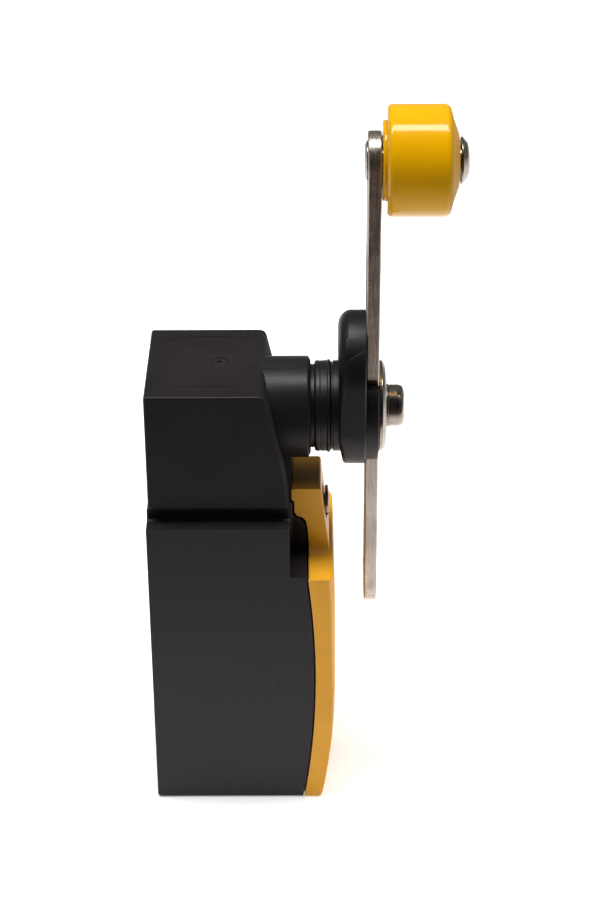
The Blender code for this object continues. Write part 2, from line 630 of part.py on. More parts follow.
def build_shaft_parts():
    axle = (0.0, 0.0, SHAFT_HEIGHT)
    shaft = turned("shaft", "X", [(0.0, 32.0), (SHAFT_RADIUS - 0.4, 32.0), (SHAFT_RADIUS, 31.6),
                                  (SHAFT_RADIUS, 20.1), (3.1, 20.1), (3.1, 19.1), (SHAFT_RADIUS, 19.1),
                                  (SHAFT_RADIUS, 6.0), (SHAFT_RADIUS - 0.5, 5.5), (0.0, 5.5)],
                   axle, sides=24)
    cut(shaft, rod("shaft_thread", "X", CLAMP_SCREW_RADIUS + GAP, 22.0, 34.0, axle, sides=24))
    piece(shaft, "ground_steel")
    cam = turned("cam", "X", [(SHAFT_RADIUS + 0.25, 13.8), (CAM_RADIUS, 13.8), (CAM_RADIUS, 8.2),
                              (SHAFT_RADIUS + 0.25, 8.2)], axle, sides=28, closed=True)
    cut(cam, box("cam_flat", (7.0, 15.0), (-8.0, 8.0), (SHAFT_HEIGHT - 8.0, SHAFT_HEIGHT - 5.1)))
    piece(cam, "ground_steel")
    clip = ring("shaft_circlip", "X", 4.9, 3.4, 19.35, 19.75, axle, "ground_steel", sides=28)
    cut(clip, box("circlip_mouth", (18.0, 21.0), (-1.2, 1.2), (SHAFT_HEIGHT, SHAFT_HEIGHT + 7.0)))
    hub = turned("lever_hub", "X", [(SHAFT_RADIUS + 0.25, HUB_FRONT), (8.0, HUB_FRONT), (8.2, 32.1),
                                    (8.2, 31.75), (8.0, 31.6), (8.0, 29.75), (7.8, 29.55), (7.0, 29.55),
                                    (7.0, HUB_BACK), (SHAFT_RADIUS + 0.25, HUB_BACK)], axle, closed=True)
    piece(hub, "black_lever")
    build_carrier()
    washer = turned("clamp_washer", "X", [(2.3, 41.75), (6.4, 41.75), (7.0, 41.65), (7.7, 41.1),
                                          (7.7, 40.9), (2.3, 40.9)], axle, closed=True)
    piece(washer, "nickel_steel")
    lock = ring("spring_washer", "X", 3.9, 2.3, 41.95, 42.35, axle, "nickel_steel", sides=28)
    cut(lock, box("washer_split", (41.0, 43.0), (-0.35, 0.35), (SHAFT_HEIGHT - 5.0, SHAFT_HEIGHT)))
    screw = turned("clamp_screw", "X", [(0.0, 45.2), (2.7, 45.2), (3.2, 45.1), (3.6, 44.75), (3.72, 44.3),
                                        (3.72, 42.55), (CLAMP_SCREW_RADIUS, 42.55),
                                        (CLAMP_SCREW_RADIUS, 23.0), (0.0, 23.0)], axle, sides=28)
    slot = box("clamp_slot", (43.9, 47.0), (-5.0, 5.0), (-0.55, 0.55))
    slot.location.z += SHAFT_HEIGHT * MM
    slot.rotation_euler = (math.radians(-65.0), 0.0, 0.0)
    piece(cut(screw, slot), "nickel_steel")


def slot_outline(radius, low, high, count):
    """Flat slot shape in the YZ plane, with round ends centred at two heights."""
    return arc((0.0, low), radius, 180, 360, count) + arc((0.0, high), radius, 0, 180, count)


def build_carrier():
    axle = (0.0, 0.0, SHAFT_HEIGHT)
    outline = slot_outline(CARRIER_RADIUS, CARRIER_LOW_CENTRE, CARRIER_HIGH_CENTRE, 19)
    body = bevel(prism("lever_carrier", "YZ", outline, 33.7, CARRIER_FRONT + 3.0),
                 CARRIER_ROUNDING, 2, angle=60.0)
    cut(body, box("carrier_face", (CARRIER_SEAT, 50.0), (-20.0, 20.0), (50.0, 100.0)))
    rim = rod("carrier_rim", "X", RIM_RADIUS, 37.0, CARRIER_FRONT, axle, sides=40)
    cut(rim, box("bar_channel", (CARRIER_SEAT, 42.0), (-BAR_HALF_WIDTH - GAP, BAR_HALF_WIDTH + GAP),
                 (60.0, 90.0)))
    join(body, rod("carrier_collar", "X", 8.0, CARRIER_BACK, 35.0, axle, sides=40), rim)
    cut(body, rod("carrier_bore", "X", CLAMP_SCREW_RADIUS + 0.4, 32.0, 42.0, axle, sides=24))
    return piece(body, "black_lever")


def build_bar_parts():
    front = BAR_BACK + BAR_THICKNESS
    outline = slot_outline(BAR_HALF_WIDTH, BAR_BOTTOM + BAR_HALF_WIDTH, BAR_TOP - BAR_HALF_WIDTH, 17)
    bar = bevel(prism("lever_bar", "YZ", outline, BAR_BACK, front), 0.25, 1, angle=60.0)
    slot = slot_outline(SLOT_HALF_WIDTH, SLOT_LOW, SLOT_HIGH, 11)
    cut(bar, prism("adjusting_slot", "YZ", slot, BAR_BACK - 1.0, front + 1.0))
    axle = (0.0, 0.0, ROLLER_HEIGHT)
    cut(bar, rod("axle_hole", "X", AXLE_RADIUS + GAP, 37.0, 42.0, axle, sides=28))
    piece(bar, "spring_steel_bar")
    rivet = turned("roller_axle", "X", [(0.0, 55.2), (2.2, 55.15), (3.2, 54.7), (4.0, 53.8),
                                        (AXLE_RADIUS, 53.8), (AXLE_RADIUS, 38.1), (3.1, 38.1),
                                        (3.1, 37.8), (2.7, 37.55), (0.0, 37.55)], axle, sides=28)
    piece(rivet, "nickel_steel")


def build_roller_parts():
    axle = (0.0, 0.0, ROLLER_HEIGHT)
    edge = 0.6
    profile = [(4.1, ROLLER_FRONT), (4.6, 53.45), (6.7, 52.55), (6.9, 52.4), (ROLLER_RADIUS - edge, 52.4),
               (ROLLER_RADIUS, 52.4 - edge), (ROLLER_RADIUS, 41.6 + edge), (ROLLER_RADIUS - edge, 41.6),
               (6.57, 41.6),
               (6.57, ROLLER_BACK), (4.1, ROLLER_BACK)]
    piece(turned("roller", "X", profile, axle, sides=44, closed=True), "yellow_roller")
    ring("roller_bush", "X", 3.8, AXLE_RADIUS + 0.25, ROLLER_BACK + 0.1, 53.4, axle, "bronze", 24)


def build():
    clear_scene()
    for name in (PIECES, CUTTERS):
        new_collection(name)
    datum = bpy.data.objects.new("datum", None)
    bpy.data.collections[PIECES].objects.link(datum)
    datum.location.z = -FIXING_HEIGHT * MM
    build_housing()
    build_cover()
    build_cover_gasket()
    screw_piece("cover_screw", "X", (0.0, 0.0, COVER_SCREW_HEIGHT), 2.95, COVER_RECESS_X + GAP, 32.3,
                COVER_SCREW_RADIUS, 20.5, 0.6)
    build_contact_block()
    build_contact_block_lid()
    build_terminals()
    build_carrier_parts()
    build_head_parts()
    build_shaft_parts()
    build_bar_parts()
    build_roller_parts()


build()
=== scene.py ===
"""Looks of the limit switch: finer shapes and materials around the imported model.

Shapes are made in millimetres with heights above the bottom face, and brought to the
frame (metres, origin between the two fixing holes) when a piece is finished.
"""

import json
import math

import bmesh
import bpy
from mathutils import Matrix, Vector


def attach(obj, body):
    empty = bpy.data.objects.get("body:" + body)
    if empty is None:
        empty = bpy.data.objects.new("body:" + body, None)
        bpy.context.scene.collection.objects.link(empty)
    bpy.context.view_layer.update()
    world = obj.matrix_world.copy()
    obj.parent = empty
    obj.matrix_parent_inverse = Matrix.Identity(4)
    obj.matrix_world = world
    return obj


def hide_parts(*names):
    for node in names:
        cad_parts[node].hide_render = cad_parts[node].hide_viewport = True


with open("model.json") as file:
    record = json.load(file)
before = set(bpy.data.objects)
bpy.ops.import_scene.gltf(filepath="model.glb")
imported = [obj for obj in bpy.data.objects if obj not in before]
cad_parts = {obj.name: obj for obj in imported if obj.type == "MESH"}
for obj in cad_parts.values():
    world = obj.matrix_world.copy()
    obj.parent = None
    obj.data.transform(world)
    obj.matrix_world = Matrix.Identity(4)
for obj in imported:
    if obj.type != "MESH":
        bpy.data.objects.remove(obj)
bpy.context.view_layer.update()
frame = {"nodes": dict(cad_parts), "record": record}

DATUM = 53.5                   # fixing-hole line above the bottom face
TO_FRAME = Matrix.Scale(0.001, 4) @ Matrix.Translation((0.0, 0.0, -DATUM))

# Main dimensions, as in the CAD
BASE_HALF_WIDTH = 15.5
BASE_TOP = 61.05
LEDGE_HEIGHT = 58.85
LEDGE_INSIDE = 11.8
POCKET_FLOOR = 48.9
POCKET_BACK = 25.0
NECK_HALF_WIDTH = 5.8
SHOULDER_HEIGHT = 48.4
COVER_TOP = 61.3
GAP = 0.3
COVER_SCREW_HEIGHT = 55.5
HEAD_BOTTOM = 61.35
HEAD_TOP = 83.65
HEAD_HALF_WIDTH = 12.7
SHAFT_HEIGHT = 75.0
BOSS_RADIUS = 8.95
BOSS_END = 28.7
CARRIER_LOW = 74.3
CARRIER_HIGH = 83.3
CARRIER_RADIUS = 9.6
CARRIER_SEAT = 38.34
CARRIER_FRONT = 40.6
BAR_BACK = 38.4
BAR_FRONT = 40.65
BAR_HALF_WIDTH = 4.95
BAR_BOTTOM = 34.8
BAR_TOP = 126.4
ROLLER_HEIGHT = 121.4
ROLLER_RADIUS = 9.35
AXLE = (0.0, 0.0, SHAFT_HEIGHT)
ROLLER_AXIS = (0.0, 0.0, ROLLER_HEIGHT)
COVER_SCREW_AXIS = (0.0, 0.0, COVER_SCREW_HEIGHT)
PLUNGER_AXIS = (11.0, 0.0, 0.0)
ENTRY_AXIS = (14.5, 0.0, 0.0)
GATE_AXIS = (12.9, 0.3, 0.0)
FIXING_HOLE_OFFSET = 10.0
FIXING_HOLE_RADIUS = 2.15
FIXING_HOLE_MOUTH = 2.75
ENTRY_RADIUS = 9.9
ENTRY_THREAD_RADIUS = 9.32
ENTRY_THREAD_PITCH = 1.5
ENTRY_THREAD_TURNS = 5
FILLET_RADIUS = 2.5
FILLET_CENTRE = 2.44           # less than the radius, so that the fillet overlaps its neighbours
RIM_RADIUS = 9.5
RIM_TOP = 81.8
CLAMP_BORE = 2.3
CLAMP_SCREW_RADIUS = 1.9
CLAMP_SCREW_ROOT = 1.6
CLAMP_THREAD_START = 42.2
CLAMP_THREAD_END = 23.6
CLAMP_THREAD_PITCH = 0.7
FAR = 20.0                     # well past either side of the body

# Finish
SHARP_ANGLE = 32.0             # above this an edge is shaded as a sharp one
TARNISH = (0.12, 0.09, 0.07)
GRAIN_SCALE = 2600.0
HAZE = 0.08
FRONT_PAINTED_SHADE = 0.78             # painted shade: darker tone of the roller's front face against its rim

# Studio, in metres and watts
FLOOR_Z = -DATUM * 0.001
FLOOR_GLOW = 0.36
CARD_NEAR = 0.22
CARD_FAR = 0.985
WALL_LIGHT = 0.15
CEILING_LIGHT = 0.18

# Camera solved from the photograph's straight edges
FOCAL_PIXELS = 2229.8856
FRAME_PIXELS = 900.0           # longer side of the frame
SENSOR = 36.0
YAW, PITCH, ROLL = 0.0058623, 0.529568, 0.0062649
CAMERA_SPOT = (0.0288692, -0.3430495, 0.2132266)


# Mesh building

def link(mesh, name):
    item = bpy.data.objects.new(name, mesh)
    bpy.context.scene.collection.objects.link(item)
    return item


def from_bmesh(shape, name):
    bmesh.ops.recalc_face_normals(shape, faces=shape.faces)
    mesh = bpy.data.meshes.new(name)
    shape.to_mesh(mesh)
    shape.free()
    return link(mesh, name)


PLANES = {
    "XZ": lambda a, b, t: (a, t, b),
    "YZ": lambda a, b, t: (t, a, b),
    "XY": lambda a, b, t: (a, b, t),
}


def bridge(shape, rings):
    """Side faces between each ring of vertices and the next."""
    for first, second in zip(rings, rings[1:]):
        count = len(first)
        for i in range(count):
            j = (i + 1) % count
            shape.faces.new((first[i], first[j], second[j], second[i]))


def prism(name, plane, outline, low, high):
    put = PLANES[plane]
    shape = bmesh.new()
    rings = [[shape.verts.new(put(a, b, t)) for a, b in outline] for t in (low, high)]
    shape.faces.new(rings[0])
    shape.faces.new(rings[1])
    bridge(shape, rings)
    return from_bmesh(shape, name)


def lofted(name, rings):
    """Closed body through rings of X, Z points, each ring at its own Y."""
    shape = bmesh.new()
    loops = [[shape.verts.new((x, y, z)) for x, z in outline] for y, outline in rings]
    bridge(shape, loops)
    shape.faces.new(loops[0])
    shape.faces.new(loops[-1])
    return from_bmesh(shape, name)


def box(name, xs, ys, zs):
    outline = [(xs[0], ys[0]), (xs[1], ys[0]), (xs[1], ys[1]), (xs[0], ys[1])]
    return prism(name, "XY", outline, *zs)


def turned(name, axis, centre, profile, sides=96, closed=False):
    """Revolve (radius, distance along the axis) about a world axis through centre."""
    spots = {
        "X": lambda c, s, r, a: (a, centre[1] + r * c, centre[2] + r * s),
        "Y": lambda c, s, r, a: (centre[0] + r * c, a, centre[2] + r * s),
        "Z": lambda c, s, r, a: (centre[0] + r * c, centre[1] + r * s, a),
    }
    put = spots[axis]
    shape = bmesh.new()
    rings = []
    for radius, along in profile:
        turns = 1 if radius < 1e-6 else sides
        angles = [2 * math.pi * k / sides for k in range(turns)]
        rings.append([shape.verts.new(put(math.cos(a), math.sin(a), radius, along)) for a in angles])
    pairs = list(zip(rings, rings[1:]))
    if closed:
        pairs.append((rings[-1], rings[0]))
    for first, second in pairs:
        for k in range(sides):
            j = (k + 1) % sides
            corners = [first[k % len(first)], first[j % len(first)],
                       second[j % len(second)], second[k % len(second)]]
            shape.faces.new(list(dict.fromkeys(corners)))
    return from_bmesh(shape, name)


def rod(name, axis, radius, start, end, centre, sides=64):
    profile = [(0.0, start), (radius, start), (radius, end), (0.0, end)]
    return turned(name, axis, centre, profile, sides)


def rounded(points, closed=True, steps=5):
    """Outline with arcs at the points that carry a radius as their third number."""
    outline = []
    count = len(points)
    for i, point in enumerate(points):
        radius = point[2] if len(point) > 2 else 0.0
        if radius <= 0.0 or (not closed and i in (0, count - 1)):
            outline.append((point[0], point[1]))
            continue
        here = Vector(point[:2])
        before = Vector(points[i - 1][:2]) - here
        after = Vector(points[(i + 1) % count][:2]) - here
        half = before.angle(after) / 2
        reach = min(radius / math.tan(half), 0.49 * before.length, 0.49 * after.length)
        radius = reach * math.tan(half)
        before.normalize()
        after.normalize()
        centre = here + (before + after).normalized() * (radius / math.sin(half))
        start, end = here + before * reach - centre, here + after * reach - centre
        sweep = start.angle(end)
        for step in range(steps + 1):
            share = step / steps
            spot = centre + (start * math.sin((1 - share) * sweep)
                             + end * math.sin(share * sweep)) / math.sin(sweep)
            outline.append((spot.x, spot.y))
    return outline


def arc(centre, radius, start, end, count):
    angles = [math.radians(start + (end - start) * i / (count - 1)) for i in range(count)]
    return [(centre[0] + radius * math.cos(a), centre[1] + radius * math.sin(a)) for a in angles]


def slot_outline(radius, low, high, count=32):
    return arc((0.0, low), radius, 180, 360, count) + arc((0.0, high), radius, 0, 180, count)


def bevel(item, width, segments=3, angle=50.0):
    change = item.modifiers.new("rounding", "BEVEL")
    change.width = width
    change.segments = segments
    change.limit_method = "ANGLE"
    change.angle_limit = math.radians(angle)
    return item


def baked(item):
    """The object with its modifiers applied and the helper shapes removed."""
    helpers = [m.object for m in item.modifiers if m.type == "BOOLEAN"]
    bpy.context.view_layer.update()
    graph = bpy.context.evaluated_depsgraph_get()
    mesh = bpy.data.meshes.new_from_object(item.evaluated_get(graph))
    name = item.name
    bpy.data.objects.remove(item)
    for helper in helpers:
        if helper is not None:
            bpy.data.objects.remove(helper)
    return link(mesh, name)


def combined(item, others, operation):
    for other in others:
        change = item.modifiers.new(operation.lower(), "BOOLEAN")
        change.operation = operation
        change.solver = "EXACT"
        change.object = other
    return baked(item)


def cut(item, *others):
    return combined(item, others, "DIFFERENCE")


def joined(item, *others):
    return combined(item, others, "UNION")


def soften(item, width, shortest):
    """Round the long sharp edges a little, so that they catch light."""
    shape = bmesh.new()
    shape.from_mesh(item.data)
    bmesh.ops.remove_doubles(shape, verts=shape.verts, dist=0.001)
    bmesh.ops.dissolve_limit(shape, angle_limit=math.radians(0.5),
                             verts=shape.verts, edges=shape.edges)
    chosen = [e for e in shape.edges if len(e.link_faces) == 2 and e.calc_length() > shortest
              and e.calc_face_angle(0.0) > math.radians(40.0)]
    bmesh.ops.bevel(shape, geom=chosen, offset=width, segments=2, profile=0.5,
                    affect="EDGES", clamp_overlap=True)
    shape.to_mesh(item.data)
    shape.free()
    return item


def finished(item, name, body, slot, *replaced):
    """Shade, name and move a shape into the frame, and hand it to its CAD body."""
    item.data.shade_smooth()
    item.data.set_sharp_from_angle(angle=math.radians(SHARP_ANGLE))
    weighted = item.modifiers.new("normals", "WEIGHTED_NORMAL")
    weighted.keep_sharp = True
    item = baked(item)
    item.data.transform(TO_FRAME)
    item.data.update()
    item.name = name
    item.data.name = name
    item.data.materials.clear()
    item.data.materials.append(MATERIALS[slot])
    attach(item, body)
    if replaced:
        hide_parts(*replaced)
    return item


# Materials

class Graph:
    """Short form for building a node material."""

    def __init__(self, name):
        self.material = bpy.data.materials.new(name)
        self.material.use_nodes = True
        self.tree = self.material.node_tree
        self.shader = self.tree.nodes["Principled BSDF"]
        self.place = self.node("ShaderNodeTexCoord").outputs["Object"]

    def node(self, kind, **settings):
        made = self.tree.nodes.new(kind)
        for key, value in settings.items():
            setattr(made, key, value)
        return made

    def link(self, source, target):
        self.tree.links.new(source, target)

    def feed(self, socket, value):
        if isinstance(value, bpy.types.NodeSocket):
            self.link(value, socket)
        else:
            socket.default_value = value

    def noise(self, scale, detail=4.0, stretch=(1.0, 1.0, 1.0), distortion=0.0, shift=0.0):
        mapping = self.node("ShaderNodeMapping")
        mapping.inputs["Scale"].default_value = stretch
        mapping.inputs["Location"].default_value = (shift, shift, shift)
        self.link(self.place, mapping.inputs["Vector"])
        made = self.node("ShaderNodeTexNoise")
        made.inputs["Scale"].default_value = scale
        made.inputs["Detail"].default_value = detail
        made.inputs["Distortion"].default_value = distortion
        self.link(mapping.outputs["Vector"], made.inputs["Vector"])
        return made.outputs["Fac"]

    def ramp(self, value, low, high, start=0.0, end=1.0):
        made = self.node("ShaderNodeMapRange")
        made.inputs["From Min"].default_value = low
        made.inputs["From Max"].default_value = high
        made.inputs["To Min"].default_value = start
        made.inputs["To Max"].default_value = end
        self.link(value, made.inputs["Value"])
        return made.outputs["Result"]

    def math(self, operation, first, second=0.0):
        made = self.node("ShaderNodeMath", operation=operation)
        self.feed(made.inputs[0], first)
        self.feed(made.inputs[1], second)
        return made.outputs["Value"]

    def mix(self, share, first, second):
        made = self.node("ShaderNodeMix", data_type="RGBA")
        self.feed(made.inputs["Factor"], share)
        for socket, value in ((made.inputs["A"], first), (made.inputs["B"], second)):
            self.feed(socket, value if isinstance(value, bpy.types.NodeSocket) else (*value, 1.0))
        return made.outputs["Result"]

    def edges(self, radius, low, high):
        """Mask that grows on outer and inner edges within radius metres."""
        soft = self.node("ShaderNodeBevel", samples=4)
        soft.inputs["Radius"].default_value = radius
        flat = self.node("ShaderNodeNewGeometry")
        dot = self.node("ShaderNodeVectorMath", operation="DOT_PRODUCT")
        self.link(soft.outputs["Normal"], dot.inputs[0])
        self.link(flat.outputs["Normal"], dot.inputs[1])
        return self.ramp(dot.outputs["Value"], 1.0 - low, 1.0 - high)

    def front(self, low, high, start, end):
        """Value that changes on surfaces that face along +X."""
        flat = self.node("ShaderNodeNewGeometry")
        parts = self.node("ShaderNodeSeparateXYZ")
        self.link(flat.outputs["Normal"], parts.inputs["Vector"])
        return self.ramp(parts.outputs["X"], low, high, start, end)

    def bump(self, height, distance, strength=1.0, base=None):
        made = self.node("ShaderNodeBump")
        made.inputs["Distance"].default_value = distance
        made.inputs["Strength"].default_value = strength
        self.link(height, made.inputs["Height"])
        if base is not None:
            self.link(base, made.inputs["Normal"])
        return made.outputs["Normal"]

    def finish(self, colour, roughness, normal=None, **settings):
        self.feed(self.shader.inputs["Base Color"], colour)
        self.feed(self.shader.inputs["Roughness"], roughness)
        if normal is not None:
            self.link(normal, self.shader.inputs["Normal"])
        for key, value in settings.items():
            self.shader.inputs[key.replace("_", " ")].default_value = value
        return self.material


def moulded(name, dark, light, roughness, grain_depth, wear, specular=0.5, front_haze=0.0):
    """Spark-textured plastic: fine grain, cloudy tone, dust in the grain and rubbed edges.

    front_haze roughens the faces that look along +X.
    """
    graph = Graph(name)
    cloud = graph.noise(90.0, 3.0, distortion=0.4)
    speck = graph.noise(5200.0, 1.0, shift=0.3)
    grain_height = graph.noise(GRAIN_SCALE, 3.0)
    scuff = graph.noise(700.0, 5.0, stretch=(1.0, 1.0, 0.12), shift=0.7)
    tone = graph.mix(graph.ramp(cloud, 0.35, 0.65), dark, light)
    tone = graph.mix(graph.ramp(speck, 0.66, 0.8, 0.0, 0.35), tone, wear)
    scratch = graph.ramp(scuff, 0.66, 0.74, 0.0, 0.25)
    tone = graph.mix(scratch, tone, wear)
    rub = graph.math("MULTIPLY", graph.edges(0.00035, 0.02, 0.3),
                     graph.ramp(cloud, 0.3, 0.7, 0.25, 0.7))
    tone = graph.mix(rub, tone, wear)
    gloss = graph.ramp(cloud, 0.3, 0.7, roughness - HAZE / 2, roughness + HAZE / 2)
    gloss = graph.math("ADD", gloss, graph.ramp(grain_height, 0.3, 0.7, -HAZE / 2, HAZE / 2))
    if front_haze:
        gloss = graph.math("ADD", gloss, graph.front(0.5, 0.9, 0.0, front_haze))
    normal = graph.bump(grain_height, grain_depth, 0.6)
    return graph.finish(tone, gloss, normal, Specular_IOR_Level=specular)


def glossy_moulding(name, dark, light, roughness, specular):
    """Smooth injection-moulded plastic with faint flow marks; its front face is duller, and darker by
    painted shade.
    """
    graph = Graph(name)
    cloud = graph.noise(70.0, 3.0, distortion=0.8)
    fine = graph.noise(1500.0, 3.0)
    tone = graph.mix(graph.ramp(cloud, 0.3, 0.7), dark, light)
    # painted shade: faces that look along +X get a darker base colour
    tone = graph.mix(graph.front(0.35, 0.8, 0.0, 0.8), tone, tuple(c * FRONT_PAINTED_SHADE for c in dark))
    gloss = graph.ramp(graph.noise(220.0, 5.0, shift=0.2), 0.3, 0.7,
                       roughness - 0.04, roughness + 0.06)
    gloss = graph.math("ADD", gloss, graph.front(0.35, 0.8, 0.0, 0.45))
    normal = graph.bump(fine, 0.000004, 0.5, graph.bump(cloud, 0.00006, 0.35))
    return graph.finish(tone, gloss, normal, Specular_IOR_Level=specular)


def metal(name, dark, light, roughness, lines=(1.0, 1.0, 1.0), line_depth=0.000004, stain=0.3,
          face_haze=0.0):
    """Worked metal: drawn or turned lines, tarnish in patches and bright worn edges.

    face_haze roughens the faces that look along +X or -X.
    """
    graph = Graph(name)
    cloud = graph.noise(160.0, 4.0, distortion=0.6)
    line = graph.noise(3000.0, 3.0, stretch=lines)
    pit = graph.noise(1400.0, 4.0, shift=0.5)
    tone = graph.mix(graph.ramp(line, 0.3, 0.7), dark, light)
    tone = graph.mix(graph.ramp(cloud, 0.5, 0.78, 0.0, stain), tone, TARNISH)
    tone = graph.mix(graph.ramp(pit, 0.68, 0.76, 0.0, 0.5), tone, TARNISH)
    tone = graph.mix(graph.math("MULTIPLY", graph.edges(0.0003, 0.03, 0.35), 0.55), tone, light)
    gloss = graph.ramp(cloud, 0.3, 0.7, roughness - 0.06, roughness + 0.1)
    gloss = graph.math("ADD", gloss, graph.ramp(line, 0.3, 0.7, -0.04, 0.04))
    if face_haze:
        gloss = graph.math("ADD", gloss, graph.front(0.6, 0.95, 0.0, face_haze))
        gloss = graph.math("ADD", gloss, graph.front(-0.6, -0.95, 0.0, face_haze))
    normal = graph.bump(line, line_depth, 0.7, graph.bump(pit, 0.00001, 0.25))
    return graph.finish(tone, gloss, normal, Metallic=1.0)


def rubbery(name, tone, roughness):
    """Dull rubber with a powdery bloom."""
    graph = Graph(name)
    cloud = graph.noise(300.0, 4.0)
    shade = graph.mix(graph.ramp(cloud, 0.3, 0.7), tone, tuple(min(1.0, c * 1.8) for c in tone))
    return graph.finish(shade, graph.ramp(cloud, 0.3, 0.7, roughness - 0.08, roughness + 0.08),
                        graph.bump(graph.noise(4000.0, 2.0), 0.00001, 0.5))


MATERIALS = {
    "black_housing": moulded("black_housing", (0.0048, 0.0043, 0.0052), (0.0068, 0.0062, 0.0072),
                             0.46, 0.000012, (0.03, 0.028, 0.029), specular=0.39,
                             front_haze=0.5),
    "black_head": moulded("black_head", (0.0095, 0.0077, 0.0087), (0.0126, 0.0105, 0.0116),
                          0.40, 0.000010, (0.034, 0.03, 0.031), specular=0.22,
                          front_haze=0.5),
    "yellow_cover": moulded("yellow_cover", (0.76, 0.35, 0.017), (0.82, 0.39, 0.022),
                            0.40, 0.000012, (0.88, 0.54, 0.13), specular=0.3),
    "yellow_roller": glossy_moulding("yellow_roller", (0.60, 0.297, 0.0006), (0.66, 0.33, 0.001),
                                     0.11, specular=0.26),
    "black_lever": moulded("black_lever", (0.0032, 0.0029, 0.0032), (0.0046, 0.0042, 0.0047),
                           0.45, 0.000010, (0.032, 0.03, 0.031), specular=0.41),
    "bar_steel": metal("bar_steel", (0.50, 0.455, 0.37), (0.66, 0.61, 0.50), 0.26,
                       lines=(1.0, 1.0, 0.06), line_depth=0.000006, face_haze=0.35),
    "nickel_steel": metal("nickel_steel", (0.32, 0.285, 0.24), (0.46, 0.42, 0.36), 0.2,
                          line_depth=0.000003, stain=0.35, face_haze=0.15),
    "ground_steel": metal("ground_steel", (0.42, 0.42, 0.41), (0.6, 0.6, 0.59), 0.3,
                          lines=(1.0, 0.1, 0.1)),
    "rubber": rubbery("rubber", (0.012, 0.012, 0.012), 0.7),
    "grey_moulding": moulded("grey_moulding", (0.36, 0.37, 0.35), (0.42, 0.43, 0.41), 0.5, 0.00001,
                             (0.6, 0.6, 0.58)),
    "red_moulding": moulded("red_moulding", (0.38, 0.045, 0.03), (0.45, 0.06, 0.04), 0.45, 0.00001,
                            (0.6, 0.2, 0.16)),
    "bronze": metal("bronze", (0.48, 0.29, 0.13), (0.6, 0.37, 0.18), 0.4),
    "brass": metal("brass", (0.62, 0.44, 0.17), (0.74, 0.55, 0.24), 0.3),
}


# Shared outlines

def parting_x(height):
    """Depth of the curved joint between base and cover at a height."""
    return 29.27 - 2.1 * ((27.0 - height) / 27.0) ** 2


def parting_line(low, high, count):
    step = (high - low) / (count - 1)
    return [(parting_x(low + step * i), low + step * i) for i in range(count)]


def shift(points, across):
    return [(p[0] + across, *p[1:]) for p in points]


NECK_JOINT = [(28.05, 49.3), (27.85, 52.4, 2.0), (27.6, 54.2, 1.0), (27.0, 55.0, 0.8),
              (26.0, 55.4, 0.4), (25.5, 56.1, 0.4), (25.5, 58.4, 0.12), (25.0, 58.7, 0.1)]


# Base

def build_housing():
    """Base with pockets and holes on both sides, the wiring space, the entry and the head's seat."""
    back = [(0.0, BASE_TOP, 0.5), (0.0, 0.0, 0.6)]
    front = (parting_line(0.0, 48.6, 24) + NECK_JOINT
             + [(POCKET_BACK, BASE_TOP, 0.3)])
    body = prism("housing_work", "XZ", rounded(back + front), -BASE_HALF_WIDTH, BASE_HALF_WIDTH)
    body = baked(bevel(body, 0.45, 3))
    cutters = []
    for side in (-1, 1):
        ledge = rounded([(LEDGE_INSIDE, 62.0), (LEDGE_INSIDE, LEDGE_HEIGHT - 0.05, 0.7),
                         (17.0, LEDGE_HEIGHT), (17.0, 62.0)])
        cutters.append(prism("ledge", "YZ", [(side * y, z) for y, z in ledge], -1.0, 30.0))
        pocket = rounded([(POCKET_BACK, side * NECK_HALF_WIDTH, 0.5), (POCKET_BACK, side * 16.5),
                          (32.0, side * 16.5), (32.0, side * NECK_HALF_WIDTH)])
        cutters.append(prism("pocket", "XY", pocket, POCKET_FLOOR, 62.0))
        hole = [(0.0, -1.0), (FIXING_HOLE_MOUTH, -1.0), (FIXING_HOLE_MOUTH, 0.0),
                (FIXING_HOLE_RADIUS, 0.6), (FIXING_HOLE_RADIUS, POCKET_BACK - 0.5),
                (FIXING_HOLE_MOUTH, POCKET_BACK), (FIXING_HOLE_MOUTH, 26.0), (0.0, 26.0)]
        centre = (0.0, side * FIXING_HOLE_OFFSET, DATUM)
        cutters.append(turned("fixing_hole", "X", centre, hole, 48))
    body = cut(body, *cutters)
    thread = [(0.0, -1.0), (10.2, -1.0), (10.2, 0.0), (ENTRY_RADIUS, 0.3)]
    for turn in range(ENTRY_THREAD_TURNS):
        start = 0.6 + ENTRY_THREAD_PITCH * turn
        thread += [(ENTRY_RADIUS, start + 0.2), (ENTRY_THREAD_RADIUS, start + 0.6),
                   (ENTRY_THREAD_RADIUS, start + 0.9), (ENTRY_RADIUS, start + 1.35)]
    thread += [(9.3, 8.5), (9.3, 10.0), (0.0, 10.0)]
    body = cut(body,
               box("cavity", (2.8, 32.0), (-13.0, 13.0), (9.0, 46.0)),
               box("neck_cavity", (3.8, 32.0), (-4.2, 4.2), (45.0, 51.5)),
               turned("entry", "Z", ENTRY_AXIS, thread, 64),
               rod("spigot_seat", "Z", 7.0, 58.0, 63.0, PLUNGER_AXIS),
               rod("seal_seat", "Z", 3.6, 56.4, 59.0, PLUNGER_AXIS, 48),
               rod("plunger_bore", "Z", 2.1, 45.0, 57.0, PLUNGER_AXIS, 48))
    soften(body, 0.22, shortest=2.2)
    finished(body, "housing_body", "base", "black_housing", "housing")


